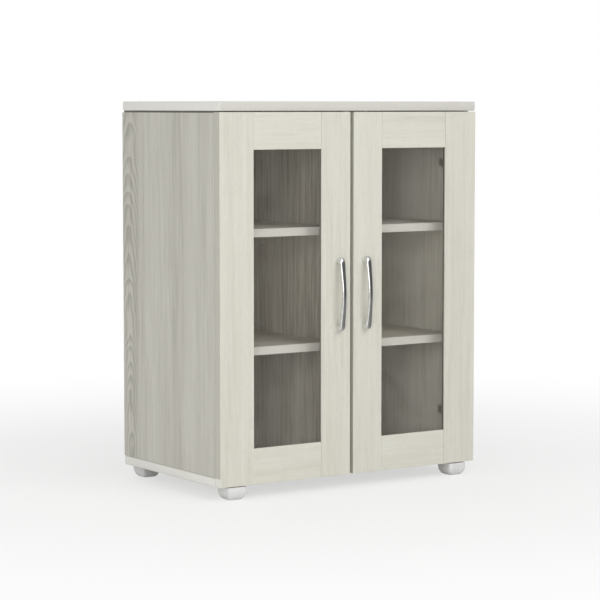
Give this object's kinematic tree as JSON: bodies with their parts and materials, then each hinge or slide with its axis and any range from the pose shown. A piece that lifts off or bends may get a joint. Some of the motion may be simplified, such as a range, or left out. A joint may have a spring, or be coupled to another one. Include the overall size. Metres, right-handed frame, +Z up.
{
  "type": "towel cabinet",
  "caption": "Free-standing cabinet with glazed hinged doors, adjustable shelves on pins and moulded feet, for storing salon towels.",
  "frame": {"origin": "on the floor, under the middle of the cabinet measured over its handles", "axes": "+Z up, the doors face -Y, +X to the right of someone facing the doors"},
  "size_m": [0.6, 0.382, 0.746],
  "materials": {
    "oak_white": "white-washed oak, fine vertical grain, matt",
    "oak_grey": "white-washed oak, greyer than the doors, open grain, matt",
    "oak_interior": "matt oak laminate inside the cabinet",
    "white_laminate": "off-white board with rounded edge band, matt",
    "moulded_plastic": "white moulded plastic",
    "clear_glass": "clear float glass",
    "soft_bead": "dark brown soft glazing bead, matt",
    "satin_nickel": "satin metal",
    "nickel": "nickel-plated pressed steel"
  },
  "bodies": {
    "carcass": {"top_panel": "white_laminate", "bottom_panel": "white_laminate", "centre_divider": "oak_interior", "back_panel": "oak_interior", "left_side_panel": "oak_grey", "left_front_foot": "moulded_plastic", "left_rear_foot": "moulded_plastic", "left_lower_shelf": "oak_interior", "left_lower_front_outer_pin": "nickel", "left_lower_front_inner_pin": "nickel", "left_lower_rear_outer_pin": "nickel", "left_lower_rear_inner_pin": "nickel", "left_lower_hinge_arm": "nickel", "left_upper_shelf": "oak_interior", "left_upper_front_outer_pin": "nickel", "left_upper_front_inner_pin": "nickel", "left_upper_rear_outer_pin": "nickel", "left_upper_rear_inner_pin": "nickel", "left_upper_hinge_arm": "nickel", "right_side_panel": "oak_grey", "right_front_foot": "moulded_plastic", "right_rear_foot": "moulded_plastic", "right_lower_shelf": "oak_interior", "right_lower_front_outer_pin": "nickel", "right_lower_front_inner_pin": "nickel", "right_lower_rear_outer_pin": "nickel", "right_lower_rear_inner_pin": "nickel", "right_lower_hinge_arm": "nickel", "right_upper_shelf": "oak_interior", "right_upper_front_outer_pin": "nickel", "right_upper_front_inner_pin": "nickel", "right_upper_rear_outer_pin": "nickel", "right_upper_rear_inner_pin": "nickel", "right_upper_hinge_arm": "nickel"},
    "left_door": {"left_hinge_stile": "oak_white", "left_handle_stile": "oak_white", "left_top_rail": "oak_white", "left_bottom_rail": "oak_white", "left_glass": "clear_glass", "left_glazing_bead": "soft_bead", "left_handle": "satin_nickel", "left_lower_handle_screw": "nickel", "left_lower_hinge_cup": "nickel", "left_upper_handle_screw": "nickel", "left_upper_hinge_cup": "nickel"},
    "left_lower_link": {"left_lower_hinge_link": "nickel"},
    "left_upper_link": {"left_upper_hinge_link": "nickel"},
    "right_door": {"right_hinge_stile": "oak_white", "right_handle_stile": "oak_white", "right_top_rail": "oak_white", "right_bottom_rail": "oak_white", "right_glass": "clear_glass", "right_glazing_bead": "soft_bead", "right_handle": "satin_nickel", "right_lower_handle_screw": "nickel", "right_lower_hinge_cup": "nickel", "right_upper_handle_screw": "nickel", "right_upper_hinge_cup": "nickel"},
    "right_lower_link": {"right_lower_hinge_link": "nickel"},
    "right_upper_link": {"right_upper_hinge_link": "nickel"}
  },
  "joints": [
    {"name": "left_lower_link_swing", "type": "hinge", "parent": "carcass", "child": "left_lower_link", "pos_m": [-0.2704, -0.151, 0.125], "axis": [0, 0, 1], "range_deg": [0, 40]},
    {"name": "left_upper_link_swing", "type": "hinge", "parent": "carcass", "child": "left_upper_link", "pos_m": [-0.2704, -0.151, 0.625], "axis": [0, 0, 1], "range_deg": [0, 40]},
    {"name": "left_door_swing", "type": "hinge", "parent": "left_lower_link", "child": "left_door", "pos_m": [-0.29, -0.156, 0.125], "axis": [0, 0, -1], "range_deg": [0, 140]},
    {"name": "right_lower_link_swing", "type": "hinge", "parent": "carcass", "child": "right_lower_link", "pos_m": [0.2704, -0.151, 0.125], "axis": [0, 0, -1], "range_deg": [0, 40]},
    {"name": "right_upper_link_swing", "type": "hinge", "parent": "carcass", "child": "right_upper_link", "pos_m": [0.2704, -0.151, 0.625], "axis": [0, 0, -1], "range_deg": [0, 40]},
    {"name": "right_door_swing", "type": "hinge", "parent": "right_lower_link", "child": "right_door", "pos_m": [0.29, -0.156, 0.125], "axis": [0, 0, 1], "range_deg": [0, 140]}
  ],
  "couplings": [
    {"joint": "left_lower_link_swing", "follows": "left_door_swing", "ratio": 0.28571},
    {"joint": "left_upper_link_swing", "follows": "left_door_swing", "ratio": 0.28571},
    {"joint": "right_lower_link_swing", "follows": "right_door_swing", "ratio": 0.28571},
    {"joint": "right_upper_link_swing", "follows": "right_door_swing", "ratio": 0.28571}
  ]
}
